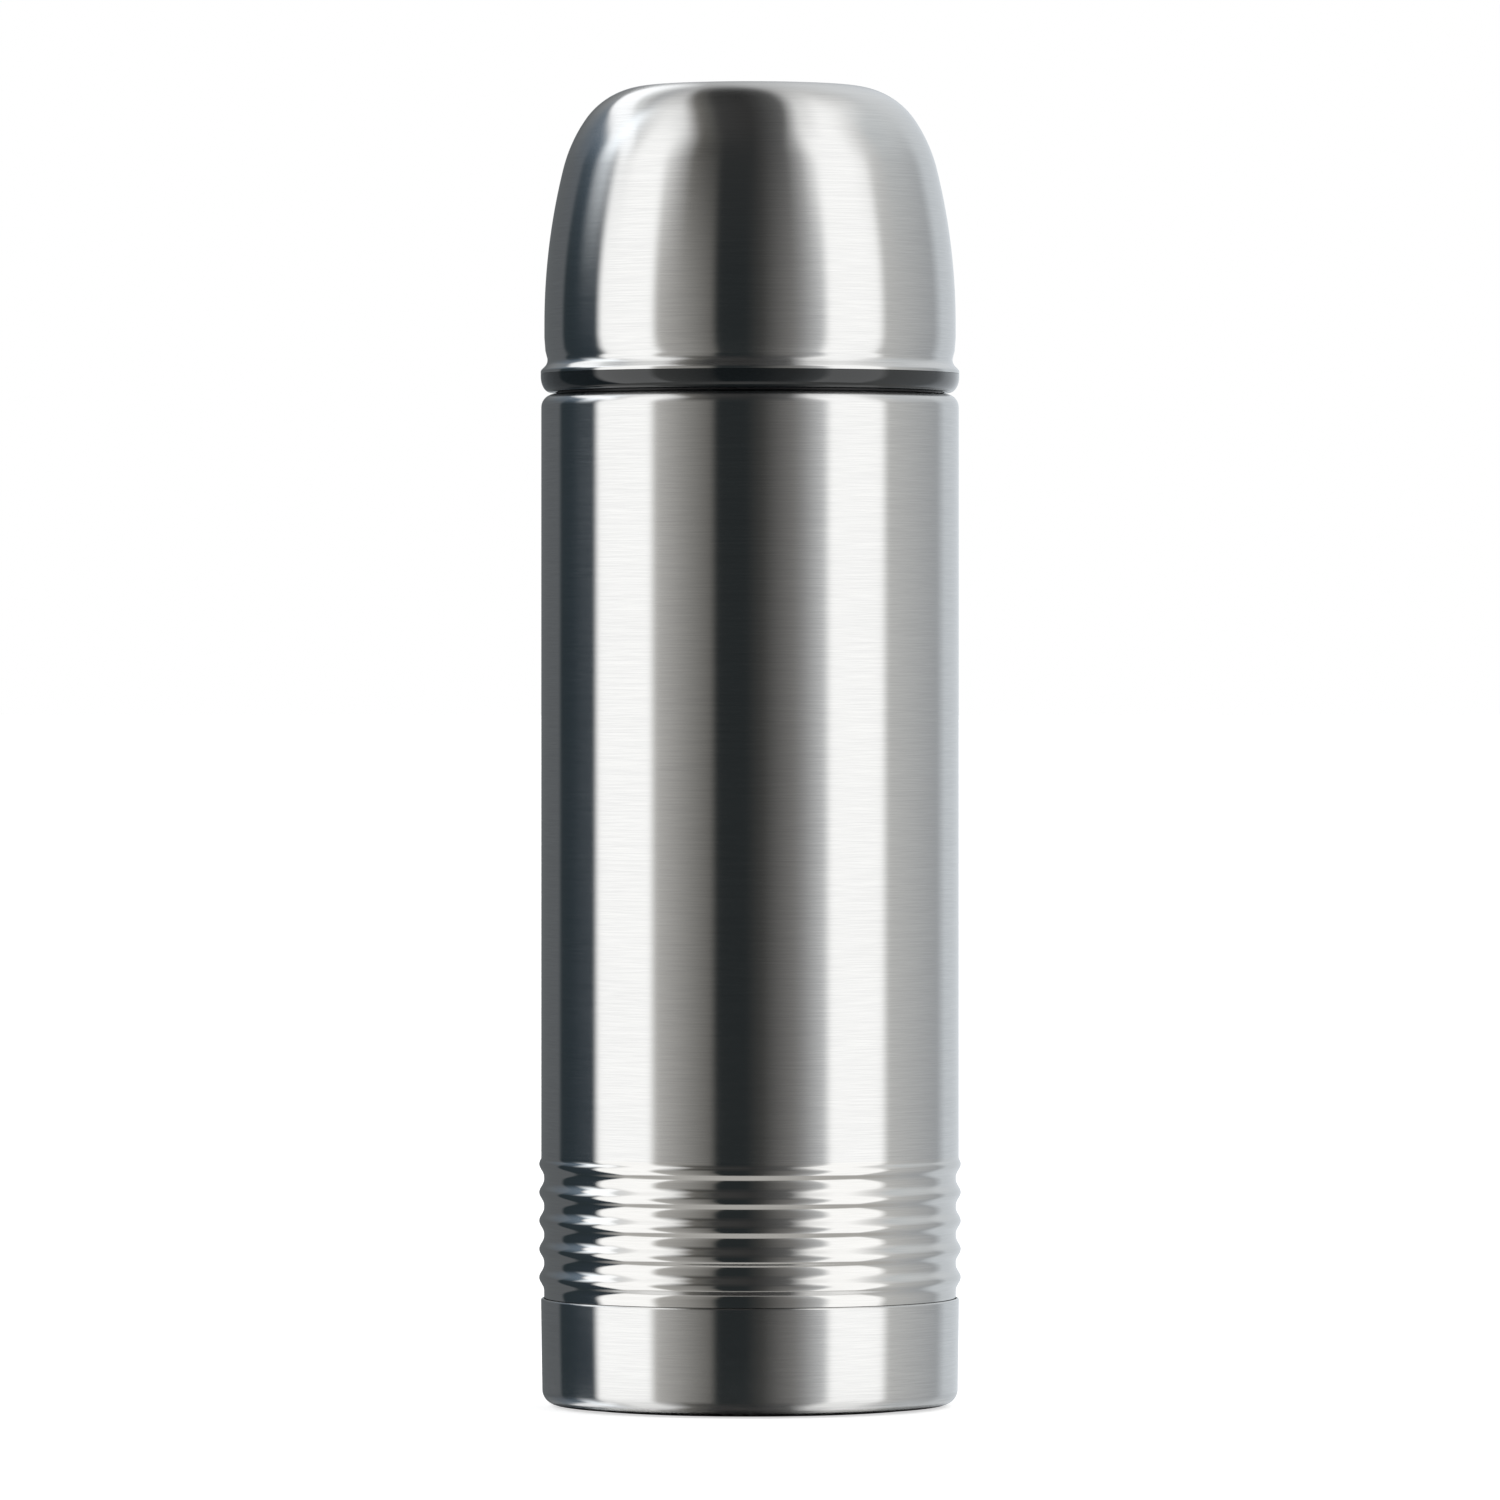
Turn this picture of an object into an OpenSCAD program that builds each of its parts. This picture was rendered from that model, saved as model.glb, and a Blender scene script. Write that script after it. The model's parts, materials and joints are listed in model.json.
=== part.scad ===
// Half-litre steel vacuum flask with a screw-on drinking cup and a push-button pouring stopper.
// Millimetres, +Z up. The origin is the centre of the foot pad's underside, on the flask's axis.

/* [Body] */
// Outer radius of the smooth steel tube
body_r = 40.5; // [38:0.1:42]
// Height of the flat shoulder that the cup comes down to
shoulder_z = 196.3; // [190:0.1:210]
// Rounding between the tube and the shoulder
shoulder_round = 2.6; // [1.5:0.1:3.5]
// Thickness of every steel sheet
sheet = 0.45; // [0.4:0.05:0.55]

/* [Base] */
// Height of the seam between the base cap and the tube
seam_z = 21; // [18:0.5:24]
// Rounding under the base cap
base_round = 2.9; // [2:0.1:4]
// How far the foot pad stands out below the steel
pad_proud = 0.4; // [0.2:0.1:0.6]

/* [Grip rings] */
// Number of rolled rings
ring_count = 5; // [3:1:6]
// Spacing of the rings
ring_pitch = 5.5; // [5:0.1:6]
// Height of the lowest ring's crest above the seam
ring_start = 4; // [3.5:0.1:4.5]
// Crest radius
ring_crest_r = 40.9; // [40.7:0.05:41.1]
// Valley radius
ring_valley_r = 39.95; // [39.9:0.05:40.2]

/* [Cup] */
// Radius of the cup's straight wall
cup_r = 39.9; // [39.6:0.1:40.2]
// Height from the shoulder to the cup's flat top
cup_h = 59.7; // [59.5:0.1:64]
// Largest radius of the flared rim and the lip ring
rim_r = 40.6; // [40.3:0.1:41]

/* [Inner bottle] */
// Outer radius of the inner bottle
liner_r = 34; // [32:0.5:34.5]
// Radius of the hole in the neck
mouth_r = 23; // [22.8:0.1:23.2]
// Height from the shoulder to the mouth
neck_h = 15.7; // [15.5:0.1:16]

/* [Threads] */
// Rise of the cup in one turn
cup_lead = 20; // [20:1:24]
// Threads side by side on the cup and the collar
cup_starts = 4; // [2:1:4]
// Rise of the stopper in one turn
stopper_lead = 12; // [12:1:15]
// Threads side by side on the stopper and the neck
stopper_starts = 3; // [1:1:3]

/* [Stopper] */
// Radius of the stopper's plug
plug_r = 21.4; // [21:0.1:21.6]
// Radius of the stopper's cap, without its grip ribs
cap_r = 26.2; // [25:0.1:26.5]
// Radius of the push button
button_r = 12.8; // [11:0.1:13.5]
// Radius of the valve stem
stem_r = 2.5; // [2:0.1:2.6]

/* [Hidden] */
$fn = 96;

steel = "silver";
plastic = [0.07, 0.08, 0.08];
silicone = [0.82, 0.83, 0.82];

// Base
pad_r = 34.2;
pad_h = 1.75;
base_top_r = body_r + 0.05;
base_low_r = body_r - 0.2;
joggle_r = body_r - 0.7;
shell_low_z = 9;
closing_plate_z = 15;
pocket_h = 1.4;

// Inner bottle
liner_low_z = 30;
mouth_z = shoulder_z + neck_h;
neck_out_r = mouth_r + sheet;
neck_edge_z = mouth_z - 0.5;
outer_neck_r = mouth_r + 2.1;
liner_arc_z = mouth_z - 36;

// Neck collar and cup
collar_r = 33.7;
collar_flange_r = 37.4;
collar_flange_z = shoulder_z + 1.1;
seal_z = shoulder_z + 7.7;
cup_thread_r = 35.8;
cup_top_z = shoulder_z + cup_h;
lip_top_z = shoulder_z + 3.9;
lip_clip_r = cup_thread_r + 2.9;
lip_clip_wall = 0.7;
liner_gap = 2;
liner_wall = 1.3;
// The cup's ribs lie this far below the collar's, and so pull the cup down
collar_thread_z = shoulder_z + 4.4;
cup_thread_drop = 1.6;

// Stopper
plug_low_z = mouth_z - 19;
flange_z = mouth_z + 1.3;
cap_low_z = flange_z + 2.2;
cap_top_z = cap_low_z + 10.5;
cap_wall = 1.8;
cap_roof = 2;
guide_z = mouth_z - 9;
spring_low_z = mouth_z - 4;
button_top_z = cap_top_z + 2;
button_roof = 2;
plug_in_r = plug_r - 2.2;
plug_lip_r = plug_r + 1.2;
seat_r = 15;
neck_thread_z = mouth_z - 13;
thread_drop = 1.35;
fit_gap = 0.05;

// Points along an arc of a circle or, with two radii, of an ellipse
function arc(c, r, from, to, n = 10) =
    let (rx = is_list(r) ? r[0] : r, ry = is_list(r) ? r[1] : r)
    [for (i = [0:n]) let (a = from + (to - from) * i / n) [c[0] + rx * cos(a), c[1] + ry * sin(a)]];

function backwards(points) = [for (i = [len(points) - 1:-1:0]) points[i]];

module turned(points) {
    rotate_extrude() polygon(points);
}

module ring(r_in, r_out, z_low, z_high) {
    translate([0, 0, z_low]) difference() {
        cylinder(r = r_out, h = z_high - z_low);
        translate([0, 0, -1]) cylinder(r = r_in, h = z_high - z_low + 2);
    }
}

// One helical thread rib. It rises counter-clockwise, and sinks into the wall at both ends.
module thread_rib(root_r, crest_r, z, lead, sweep, start, root_w, crest_w) {
    steps = round(sweep / 7.5);
    fade = 0.14;
    function share(t) = max(0.1, min(1, t / fade, (1 - t) / fade));
    function section(t) =
        let (a = start + sweep * t, mid = z + lead * sweep * t / 360)
        let (r = root_r + (crest_r - root_r) * share(t))
        [
            [root_r * cos(a), root_r * sin(a), mid - root_w / 2],
            [r * cos(a), r * sin(a), mid - crest_w / 2],
            [r * cos(a), r * sin(a), mid + crest_w / 2],
            [root_r * cos(a), root_r * sin(a), mid + root_w / 2]
        ];
    points = [for (i = [0:steps]) each section(i / steps)];
    sides = [
        for (i = [0:steps - 1], j = [0:3])
            let (a = 4 * i + j, b = 4 * i + (j + 1) % 4)
            each [[a, b, b + 4], [a, b + 4, a + 4]]
    ];
    last = 4 * steps;
    ends = [[0, 2, 1], [0, 3, 2], [last, last + 1, last + 2], [last, last + 2, last + 3]];
    faces = concat(sides, ends);
    inward = crest_r < root_r;
    polyhedron(points, inward ? [for (f = faces) backwards(f)] : faces);
}

module thread(root_r, crest_r, z, lead, starts, sweep, turn, root_w, crest_w) {
    for (i = [0:starts - 1])
        thread_rib(root_r, crest_r, z, lead, sweep, turn + 360 * i / starts, root_w, crest_w);
}

// ---- Base ----

module base_pad() {
    groove_d = 0.5;
    color([0.12, 0.12, 0.12]) difference() {
        turned(concat(
            [[0, 0]],
            arc([pad_r - 0.5, 0.5], 0.5, -90, 0, 4),
            [[pad_r, pad_h], [0, pad_h]]
        ));
        for (r = [14, 20, 26])
            ring(r, r + 1.2, -1, groove_d);
    }
}

module base_cap() {
    z0 = pad_proud;
    c = [base_low_r - base_round, z0 + base_round];
    color(steel) turned(concat(
        [[0, pad_h], [pad_r + 0.25, pad_h], [pad_r + 0.55, z0]],
        arc(c, base_round, -90, 0),
        [[base_top_r, seam_z - 0.3], [base_top_r - 0.2, seam_z], [base_top_r - sheet, seam_z]],
        arc(c, base_round - sheet, 0, -90),
        [[pad_r + 1, z0 + sheet], [pad_r + 0.7, pad_h + sheet], [0, pad_h + sheet]]
    ));
}

// Closes the vacuum space, with a pocket in the middle for the plugged evacuation hole
module outer_bottom() {
    r = joggle_r - sheet;
    z = closing_plate_z;
    pocket_r = 5;
    pocket_z = z + pocket_h;
    color(steel) difference() {
        turned(concat(
            [[0, pocket_z - sheet], [pocket_r, pocket_z - sheet], [pocket_r + 0.6, z - sheet]],
            arc([r - 2, z - 2], 2 - sheet, 90, 0, 6),
            [[r - sheet, shell_low_z], [r, shell_low_z]],
            arc([r - 2, z - 2], 2, 0, 90, 6),
            [[pocket_r + 0.6 - sheet, z], [pocket_r - sheet, pocket_z], [0, pocket_z]]
        ));
        translate([0, 0, z - 1]) cylinder(r = 0.8, h = 4);
    }
}

module vacuum_plug() {
    z = closing_plate_z + pocket_h - sheet;
    bead_r = 3.3;
    round_r = 0.7;
    color([0.35, 0.33, 0.3]) turned(concat(
        [[0, z], [0, z - 2 * round_r + 0.1]],
        arc([bead_r - round_r, z - round_r + 0.1], round_r, -90, 0, 5),
        [[bead_r, z]]
    ));
}

module getter() {
    color([0.45, 0.45, 0.47]) translate([20, 0, closing_plate_z]) difference() {
        cylinder(r = 4, h = 2);
        translate([0, 0, 0.6]) cylinder(r = 3, h = 2);
    }
}

// ---- Steel body ----

// Radius of the rolled rings, narrow at the crests and wide in the valleys
function ring_r(z) =
    let (wave = (1 + cos(360 * (z - seam_z - ring_start) / ring_pitch)) / 2)
    ring_valley_r + (ring_crest_r - ring_valley_r) * pow(wave, 1.35);

// Outer line of the tube, from its lower edge to the top of its neck, or a line inset from it
function shell_line(inset) =
    let (top_crest = seam_z + ring_start + ring_pitch * (ring_count - 1))
    let (low = seam_z + ring_start - ring_pitch / 2, fall = 0.27 * ring_pitch)
    let (steps = 8 * ring_count - 2)
    concat(
        [[joggle_r - inset, shell_low_z], [joggle_r - inset, seam_z - 0.2]],
        [[ring_valley_r - inset, seam_z + 0.3]],
        [
            for (i = [0:steps])
                let (z = low + (top_crest + fall - low) * i / steps)
                if (z <= top_crest || ring_r(z) > body_r) [ring_r(z) - inset, z]
        ],
        [[body_r - inset, top_crest + fall + 0.2]],
        arc([body_r - shoulder_round, shoulder_z - shoulder_round], shoulder_round - inset, 0, 90),
        arc([outer_neck_r + 2.4, shoulder_z + 2.4], 2.4 + inset, 270, 180, 6),
        [[outer_neck_r - inset, neck_edge_z]]
    );

module outer_shell() {
    color(steel) turned(concat(shell_line(0), backwards(shell_line(sheet))));
}

// The inner bottle's shoulder, between its wall and its neck
function liner_line(inset) =
    let (r = liner_r - inset, slope = 60, bend = 8, flare = 5)
    let (c = [liner_r - bend, liner_arc_z])
    let (low = [c[0] + bend * cos(slope), c[1] + bend * sin(slope)])
    let (c2_r = neck_out_r + flare)
    let (high_r = c2_r - flare * cos(slope))
    let (high_z = low[1] + (low[0] - high_r) / tan(slope))
    concat(
        [[r, liner_low_z]],
        arc(c, bend - inset, 0, slope, 8),
        arc([c2_r, high_z + flare * sin(slope)], flare + inset, 180 + slope, 180, 6)
    );

module inner_bottle() {
    color(steel) union() {
        turned(concat(
            liner_line(0),
            [[neck_out_r, neck_edge_z], [outer_neck_r, neck_edge_z], [outer_neck_r, mouth_z]],
            arc([mouth_r + 0.4, mouth_z - 0.4], 0.4, 90, 180, 4),
            backwards(liner_line(sheet))
        ));
        thread(mouth_r + 0.2, mouth_r - 0.8, neck_thread_z, stopper_lead, stopper_starts, 260, 0, 1.7, 0.8);
    }
}

module inner_bottom() {
    sag = 4.5;
    knuckle = 5;
    flat_r = liner_r - knuckle;
    low_z = liner_low_z - 8;
    sphere_r = (flat_r * flat_r + sag * sag) / (2 * sag);
    edge = asin(flat_r / sphere_r);
    dome_c = [0, low_z - sag + sphere_r];
    function line(inset) = concat(
        arc(dome_c, sphere_r - inset, -90, -90 + edge, 12),
        arc([liner_r - knuckle, low_z + knuckle], knuckle - inset, -60, 0, 6),
        [[liner_r - inset, liner_low_z]]
    );
    color(steel) turned(concat(line(0), backwards(line(sheet))));
}

module radiation_foil() {
    color([0.85, 0.55, 0.4]) ring(liner_r, liner_r + 0.15, liner_low_z + 4, liner_arc_z - 2);
}

// ---- Neck collar ----

module neck_collar() {
    sleeve_in = outer_neck_r + 0.2;
    sleeve_out = sleeve_in + 1.8;
    skirt_in = collar_r - 1.8;
    top = mouth_z + 1;
    groove_z = seal_z - 0.65;
    color(plastic) union() {
        difference() {
            turned(concat(
                [[skirt_in, shoulder_z], [collar_flange_r, shoulder_z], [collar_flange_r, collar_flange_z]],
                [[collar_r + 0.6, collar_flange_z], [collar_r, collar_flange_z + 0.6]],
                arc([collar_r - 0.8, top - 0.8], 0.8, 0, 90, 5),
                arc([sleeve_in + 0.4, top - 0.4], 0.4, 90, 180, 4),
                [[sleeve_in, shoulder_z + 3], [sleeve_out, shoulder_z + 3]],
                [[sleeve_out, top - 1.8], [skirt_in, top - 1.8]]
            ));
            ring(sleeve_in - 1, sleeve_in + 1, groove_z, groove_z + 1.3);
        }
        thread(collar_r - 0.25, collar_r + 1.5, collar_thread_z, cup_lead, cup_starts, 120, 0, 2, 1);
    }
}

module collar_seal() {
    color("black") translate([0, 0, seal_z]) rotate_extrude()
        translate([outer_neck_r + 0.62, 0]) circle(r = 0.55, $fn = 24);
}

// ---- Cup ----

// The dome's line from the cup's straight wall to its axis, or a line inset from it
function dome_line(inset, low_z) =
    let (r1 = 124.8, r2 = 29.4, r3 = 15.1, a1 = 13.9, a2 = 34.2)
    let (c3_r = cup_r - r1 + (r1 - r2) * cos(a1) + (r2 - r3) * cos(a2), c3_z = cup_top_z - r3)
    let (c2 = [c3_r - (r2 - r3) * cos(a2), c3_z - (r2 - r3) * sin(a2)])
    let (c1 = [c2[0] - (r1 - r2) * cos(a1), c2[1] - (r1 - r2) * sin(a1)])
    concat(
        [[cup_r - inset, low_z]],
        arc(c1, r1 - inset, 0, a1, 10),
        [for (i = [1:8]) arc(c2, r2 - inset, a1, a2, 8)[i]],
        [for (i = [1:14]) arc([c3_r, c3_z], r3 - inset, a2, 90, 14)[i]],
        [[0, cup_top_z - inset]]
    );

// The cup's waist and flared rim, from the lower edge up
function rim_line(inset) =
    let (z = lip_top_z + fit_gap, waist_r = cup_r - 0.6)
    concat(
        [[rim_r - inset, z]],
        arc([rim_r - 0.6, z + 0.35], 0.6 - inset, 0, 45, 4),
        arc([waist_r + 1.8, z + 2.65], 1.8 + inset, 225, 160, 8),
        [[cup_r - 0.2 - inset, z + 4.4]]
    );

module cup_shell() {
    low = lip_top_z + 7;
    color(steel) turned(concat(
        rim_line(0), dome_line(0, low),
        backwards(dome_line(sheet, low)), backwards(rim_line(sheet))
    ));
}

// Glossy drinking lip, clipped inside the cup's rim
module cup_lip_ring() {
    low = shoulder_z + 0.3;
    upstand_z = lip_top_z + 3;
    shelf_z = collar_flange_z + 1.35;
    shelf_r = cup_thread_r + 0.3;
    color(plastic) turned(concat(
        [[collar_flange_r + 0.4, low]],
        arc([rim_r - 1.9, lip_top_z - 0.5], [1.9, lip_top_z - 0.5 - low], -90, 0, 12),
        [[rim_r, lip_top_z], [lip_clip_r, lip_top_z], [lip_clip_r, upstand_z - 0.3]],
        [[lip_clip_r - 0.2, upstand_z], [lip_clip_r - lip_clip_wall, upstand_z]],
        [[lip_clip_r - lip_clip_wall, lip_top_z], [shelf_r, lip_top_z], [shelf_r, shelf_z]],
        [[collar_flange_r + 0.4, shelf_z]]
    ));
}

module cup_liner() {
    band_top = lip_top_z + 8.5;
    outer = dome_line(liner_gap, lip_top_z);
    inner = dome_line(liner_gap + liner_wall, band_top + 0.8);
    z = collar_thread_z + 1;
    turn = 360 * (1 + cup_thread_drop) / cup_lead;
    color(plastic) union() {
        turned(concat(outer, backwards(inner), [[cup_thread_r, band_top], [cup_thread_r, lip_top_z]]));
        thread(cup_thread_r + 0.25, cup_thread_r - 1.4, z, cup_lead, cup_starts, 105, turn, 2, 1);
    }
}

module cup_gasket() {
    low = collar_flange_z + fit_gap;
    color(silicone) ring(cup_thread_r + 0.2, collar_flange_r + 0.05, low, collar_flange_z + 1.3);
}

// ---- Stopper ----

module stopper_body() {
    z0 = plug_low_z;
    thread_z = neck_thread_z - thread_drop;
    color(plastic) union() {
        turned([
            [seat_r, z0], [plug_r - 0.8, z0], [plug_r, z0 + 0.8], [plug_r, flange_z],
            [cap_r, flange_z], [cap_r, cap_low_z], [plug_lip_r, cap_low_z], [plug_lip_r, cap_low_z + 1.2],
            [plug_in_r, cap_low_z + 1.2], [plug_in_r, z0 + 3], [seat_r, z0 + 2]
        ]);
        thread(plug_r - 0.2, plug_r + 1.3, thread_z, stopper_lead, stopper_starts, 220, 0, 1.7, 0.8);
    }
}

module stopper_gasket() {
    color(silicone) ring(mouth_r + 0.1, outer_neck_r - 0.05, mouth_z + fit_gap, flange_z - fit_gap);
}

// Cap with grip ribs all round and two pouring windows
module stopper_cap() {
    rib_count = 36;
    window_w = 24;
    window_h = 5.4;
    color([0.2, 0.21, 0.22]) difference() {
        union() {
            turned(concat(
                [[cap_r - cap_wall, cap_low_z], [cap_r, cap_low_z]],
                arc([cap_r - 2, cap_top_z - 2], 2, 0, 90, 8),
                [[button_r + 0.3, cap_top_z], [button_r + 0.3, cap_top_z - cap_roof]],
                [[cap_r - cap_wall, cap_top_z - cap_roof]]
            ));
            for (i = [0:rib_count - 1])
                rotate([0, 0, 360 * i / rib_count]) translate([cap_r, 0, cap_low_z])
                    cylinder(r = 0.7, h = 8, $fn = 16);
        }
        for (turn = [0, 180])
            rotate([0, 0, turn]) translate([cap_r - 5, -window_w / 2, cap_low_z + 1.4])
                cube([10, window_w, window_h]);
    }
}

module stopper_cap_seal() {
    color(silicone) ring(plug_lip_r + fit_gap, cap_r - cap_wall - fit_gap, cap_low_z, cap_low_z + 0.9);
}

// Hub that guides the stem, on three arms clipped into the plug
module stem_guide() {
    rim_out = plug_in_r - fit_gap;
    color(plastic) difference() {
        union() {
            ring(rim_out - 1.6, rim_out, guide_z, guide_z + 3);
            translate([0, 0, guide_z - 2]) cylinder(r = 5, h = spring_low_z - guide_z + 2);
            translate([0, 0, spring_low_z - 1.4]) cylinder(r = 7.6, h = 1.4);
            for (turn = [0:120:240])
                rotate([0, 0, turn]) translate([0, -1.5, guide_z]) cube([rim_out - 0.8, 3, 3]);
        }
        translate([0, 0, guide_z - 3]) cylinder(r = stem_r + 0.08, h = 20);
    }
}

// Compression spring with closed ends
module button_spring() {
    coils = 6.5;
    wire_r = 0.45;
    mean_r = 6.4;
    per_turn = 16;
    sides = 8;
    low = spring_low_z + wire_r + fit_gap;
    high = button_top_z - button_roof - wire_r - fit_gap;
    steps = coils * per_turn;
    closed = 2 * wire_r + 0.1;
    // Height along the wire: one closed turn at each end, and an even pitch between
    function rise(turns) =
        turns < 1 ? low + closed * turns
        : turns > coils - 1 ? high - closed * (coils - turns)
        : low + closed + (high - low - 2 * closed) * (turns - 1) / (coils - 2);
    points = [
        for (i = [0:steps], j = [0:sides - 1])
            let (a = 360 * i / per_turn, b = 360 * j / sides, r = mean_r + wire_r * cos(b))
            [r * cos(a), r * sin(a), rise(i / per_turn) + wire_r * sin(b)]
    ];
    walls = [
        for (i = [0:steps - 1], j = [0:sides - 1])
            let (a = sides * i + j, b = sides * i + (j + 1) % sides)
            each [[a, b, b + sides], [a, b + sides, a + sides]]
    ];
    ends = [
        [for (j = [sides - 1:-1:0]) j],
        [for (j = [0:sides - 1]) sides * steps + j]
    ];
    color("gray") polyhedron(points, concat(walls, ends));
}

module push_button() {
    flange_r = button_r + 2;
    flange_top = cap_top_z - cap_roof - fit_gap;
    flange_low = flange_top - 1.4;
    top = button_top_z;
    roof_low = top - button_roof;
    boss_r = 4;
    wall = 1.4;
    color([0.45, 0.47, 0.48]) difference() {
        turned(concat(
            [[0, mouth_z + 2], [boss_r, mouth_z + 2], [boss_r, roof_low], [button_r - wall, roof_low]],
            [[button_r - wall, flange_low], [flange_r, flange_low], [flange_r, flange_top]],
            [[button_r, flange_top]],
            arc([button_r - 0.8, top - 0.8], 0.8, 0, 90, 5),
            [[button_r - 2.4, top], [button_r - 3.4, top - 0.5], [0, top - 0.7]]
        ));
        translate([0, 0, mouth_z]) cylinder(r = stem_r, h = roof_low - mouth_z);
    }
}

module valve_stem() {
    low = plug_low_z - 3.4;
    color("lightgray") translate([0, 0, low]) cylinder(r = stem_r, h = button_top_z - button_roof - low);
}

module valve_disc() {
    high = plug_low_z - 1;
    rim = seat_r + 2.6;
    color(plastic) difference() {
        turned([
            [0, high - 1.4], [rim - 3, high - 1.4], [rim, high - 0.6], [rim, high], [seat_r - 1.2, high],
            [seat_r - 1.8, high + 0.8], [6, high + 0.8], [4.4, high + 3], [0, high + 3]
        ]);
        translate([0, 0, high - 3]) cylinder(r = stem_r, h = 8);
    }
}

module valve_seal() {
    color(silicone) ring(seat_r - 1, seat_r + 2.4, plug_low_z - 1, plug_low_z - fit_gap);
}

module valve_nut() {
    color("silver") translate([0, 0, plug_low_z - 4]) difference() {
        cylinder(r = 4.2, h = 1.6, $fn = 6);
        translate([0, 0, 0.6]) cylinder(r = stem_r, h = 2, $fn = 48);
    }
}

base_pad();
base_cap();
outer_bottom();
vacuum_plug();
getter();
outer_shell();
inner_bottle();
inner_bottom();
radiation_foil();
neck_collar();
collar_seal();
cup_shell();
cup_lip_ring();
cup_liner();
cup_gasket();
stopper_body();
stopper_cap();
stopper_cap_seal();
stopper_gasket();
stem_guide();
button_spring();
push_button();
valve_stem();
valve_disc();
valve_seal();
valve_nut();
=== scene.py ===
"""Looks of the vacuum flask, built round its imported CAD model. Metres, +Z up."""
import json
import math

import bpy
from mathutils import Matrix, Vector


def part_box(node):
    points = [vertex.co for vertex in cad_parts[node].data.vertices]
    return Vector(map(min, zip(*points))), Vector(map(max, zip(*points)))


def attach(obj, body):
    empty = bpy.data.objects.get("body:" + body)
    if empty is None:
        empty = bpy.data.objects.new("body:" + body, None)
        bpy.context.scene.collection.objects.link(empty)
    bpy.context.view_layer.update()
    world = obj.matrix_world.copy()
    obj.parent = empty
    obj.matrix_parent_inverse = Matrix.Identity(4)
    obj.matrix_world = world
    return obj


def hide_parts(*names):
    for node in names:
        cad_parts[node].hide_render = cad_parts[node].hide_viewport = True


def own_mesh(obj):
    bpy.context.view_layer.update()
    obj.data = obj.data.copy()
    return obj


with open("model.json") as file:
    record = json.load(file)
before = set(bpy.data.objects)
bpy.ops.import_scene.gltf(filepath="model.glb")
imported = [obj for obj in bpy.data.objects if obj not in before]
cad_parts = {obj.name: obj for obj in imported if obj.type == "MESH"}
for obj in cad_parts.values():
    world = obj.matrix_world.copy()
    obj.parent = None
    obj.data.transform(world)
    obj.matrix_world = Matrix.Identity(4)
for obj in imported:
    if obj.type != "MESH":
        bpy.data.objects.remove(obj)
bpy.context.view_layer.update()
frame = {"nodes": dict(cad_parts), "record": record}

scene = bpy.context.scene
MM = 0.001
SHEET = 0.45      # thickness of the steel sheet, mm


# ---------------------------------------------------------------- shape helpers

def arc(cx, cz, r, start, end, n, rz=None):
    """Points (radius, height) on an arc, angles in degrees."""
    rz = r if rz is None else rz
    angles = [math.radians(start + (end - start) * i / n) for i in range(n + 1)]
    return [(cx + r * math.cos(a), cz + rz * math.sin(a)) for a in angles]


def lathe(name, outline, segments=256, sharp=35):
    """Turns a closed outline of (radius, height) in millimetres about the Z axis.

    Edges sharper than the given angle in degrees stay crisp; the rest is shaded smooth.
    """
    points = []
    for p in outline:
        if not points or math.dist(p, points[-1]) > 1e-5:
            points.append(p)
    if math.dist(points[0], points[-1]) < 1e-5:
        points.pop()
    verts, rings = [], []
    for r, z in points:
        if r < 1e-6:
            rings.append([len(verts)] * segments)
            verts.append((0, 0, z * MM))
            continue
        rings.append(list(range(len(verts), len(verts) + segments)))
        for s in range(segments):
            a = 2 * math.pi * s / segments
            verts.append((r * math.cos(a) * MM, r * math.sin(a) * MM, z * MM))
    faces = []
    for i in range(len(points)):
        low, high = rings[i], rings[(i + 1) % len(points)]
        if low[0] == low[1] and high[0] == high[1]:
            continue
        for s in range(segments):
            t = (s + 1) % segments
            corners = [low[s], low[t], high[t], high[s]]
            faces.append(list(dict.fromkeys(corners)))
    mesh = bpy.data.meshes.new(name)
    mesh.from_pydata(verts, [], faces)
    mesh.validate()
    mesh.update()
    piece = bpy.data.objects.new(name, mesh)
    scene.collection.objects.link(piece)
    smooth(piece, sharp)
    return piece


def smooth(piece, sharp):
    """Smooth shading with creases where two faces meet at more than sharp degrees."""
    piece.data.shade_smooth()
    piece.data.set_sharp_from_angle(angle=math.radians(sharp))


def place(piece, body, node, slot, *materials):
    """Puts a finished piece in place of a CAD node."""
    for material in materials:
        piece.data.materials.append(material)
    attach(piece, body)
    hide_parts(node)
    return piece


# ---------------------------------------------------------------- material helpers

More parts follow.
